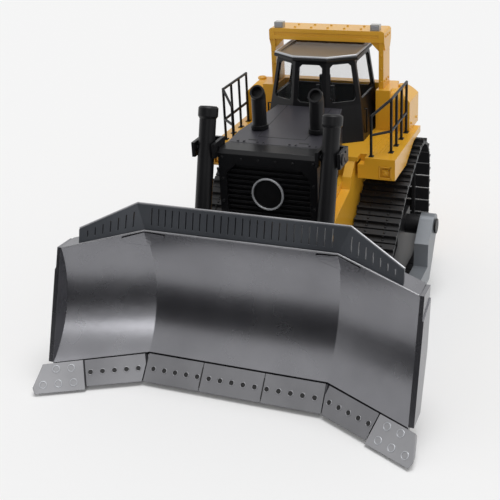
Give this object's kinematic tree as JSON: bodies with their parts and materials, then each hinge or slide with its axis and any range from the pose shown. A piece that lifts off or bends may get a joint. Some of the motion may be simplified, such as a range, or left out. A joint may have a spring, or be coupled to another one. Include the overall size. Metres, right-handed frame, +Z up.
{
  "type": "bulldozer",
  "caption": "Tracked bulldozer model with a wide winged blade on push arms and two lift cylinders, raised sprockets, glazed cab, rollover frame and a single-shank ripper.",
  "frame": {"origin": "on the ground, under the middle of the model's length and width", "axes": "+X to the machine's left side, +Y from the blade to the ripper, +Z up"},
  "size_m": [0.124, 0.1759, 0.0978],
  "materials": {
    "yellow_paint": "satin",
    "black_paint": "satin",
    "roof_tan": "satin",
    "blade_grey": "satin",
    "worn_steel": "satin",
    "arm_paint": "satin",
    "track_steel": "matte",
    "rod_steel": "polished",
    "interior": "matte",
    "window_glass": "polished"
  },
  "bodies": {
    "machine": {"side_frame_left": "yellow_paint", "side_frame_right": "yellow_paint", "deck": "yellow_paint", "fender_left": "yellow_paint", "fender_right": "yellow_paint", "fuel_tank": "yellow_paint", "rops": "yellow_paint", "ripper_bracket": "yellow_paint", "chassis": "yellow_paint", "radiator_guard": "black_paint", "lift_yokes": "black_paint", "badge": "black_paint", "hood": "black_paint", "exhaust_left": "black_paint", "exhaust_right": "black_paint", "cab_front": "black_paint", "cab_rear": "black_paint", "cab_door_left": "black_paint", "cab_door_right": "black_paint", "handrail_left": "black_paint", "handrail_right": "black_paint", "cab_roof": "roof_tan", "track_left": "track_steel", "track_right": "track_steel", "track_frame_left": "track_steel", "track_frame_right": "track_steel", "sprocket_left": "track_steel", "sprocket_right": "track_steel", "seat": "interior", "console": "interior", "cab_glass": "window_glass"},
    "blade": {"push_arm_left": "arm_paint", "push_arm_right": "arm_paint", "moldboard": "blade_grey", "lift_lugs": "blade_grey", "spill_guard": "blade_grey", "blade_end_plates": "blade_grey", "cutting_edges": "blade_grey", "blade_end_bits": "worn_steel"},
    "lift_barrel_left": {"lift_barrel_left": "black_paint"},
    "lift_barrel_right": {"lift_barrel_right": "black_paint"},
    "lift_rod_left": {"lift_rod_left": "rod_steel"},
    "lift_rod_right": {"lift_rod_right": "rod_steel"},
    "ripper": {"ripper_beam": "yellow_paint", "ripper_shank": "worn_steel"},
    "ripper_barrels": {"ripper_barrels": "black_paint"},
    "ripper_rods": {"ripper_rods": "rod_steel"}
  },
  "joints": [
    {"name": "blade_lift", "type": "hinge", "parent": "machine", "child": "blade", "pos_m": [0, 0.024, 0.0245], "axis": [-1, 0, 0], "range_deg": [-0.4, 16]},
    {"name": "ripper_lift", "type": "hinge", "parent": "machine", "child": "ripper", "pos_m": [0, 0.058, 0.024], "axis": [1, 0, 0], "range_deg": [-15, 15]},
    {"name": "ripper_cylinder_swing", "type": "hinge", "parent": "machine", "child": "ripper_barrels", "pos_m": [0, 0.0575, 0.044], "axis": [1, 0, 0], "range_deg": [-7.2, 7.2]},
    {"name": "ripper_rod_slide", "type": "slide", "parent": "ripper_barrels", "child": "ripper_rods", "axis": [0, -0.7974, 0.6034], "range_m": [-0.0043, 0.0043]},
    {"name": "lift_cylinder_swing_left", "type": "hinge", "parent": "machine", "child": "lift_barrel_left", "pos_m": [0.0214, -0.0296, 0.068], "axis": [-1, 0, 0], "range_deg": [-0.3, 8.6]},
    {"name": "lift_rod_slide_left", "type": "slide", "parent": "lift_barrel_left", "child": "lift_rod_left", "axis": [0, 0.2857, 0.9583], "range_m": [-0.0006, 0.0186]},
    {"name": "lift_cylinder_swing_right", "type": "hinge", "parent": "machine", "child": "lift_barrel_right", "pos_m": [-0.0214, -0.0296, 0.068], "axis": [-1, 0, 0], "range_deg": [-0.3, 8.6]},
    {"name": "lift_rod_slide_right", "type": "slide", "parent": "lift_barrel_right", "child": "lift_rod_right", "axis": [0, 0.2857, 0.9583], "range_m": [-0.0006, 0.0186]}
  ],
  "couplings": [
    {"joint": "ripper_cylinder_swing", "follows": "ripper_lift", "ratio": 0.4635},
    {"joint": "ripper_rod_slide", "follows": "ripper_lift", "m_per_rad": 0.015606},
    {"joint": "lift_cylinder_swing_left", "follows": "blade_lift", "ratio": 0.51893},
    {"joint": "lift_rod_slide_left", "follows": "blade_lift", "m_per_rad": 0.065203},
    {"joint": "lift_cylinder_swing_right", "follows": "blade_lift", "ratio": 0.51893},
    {"joint": "lift_rod_slide_right", "follows": "blade_lift", "m_per_rad": 0.065203}
  ]
}
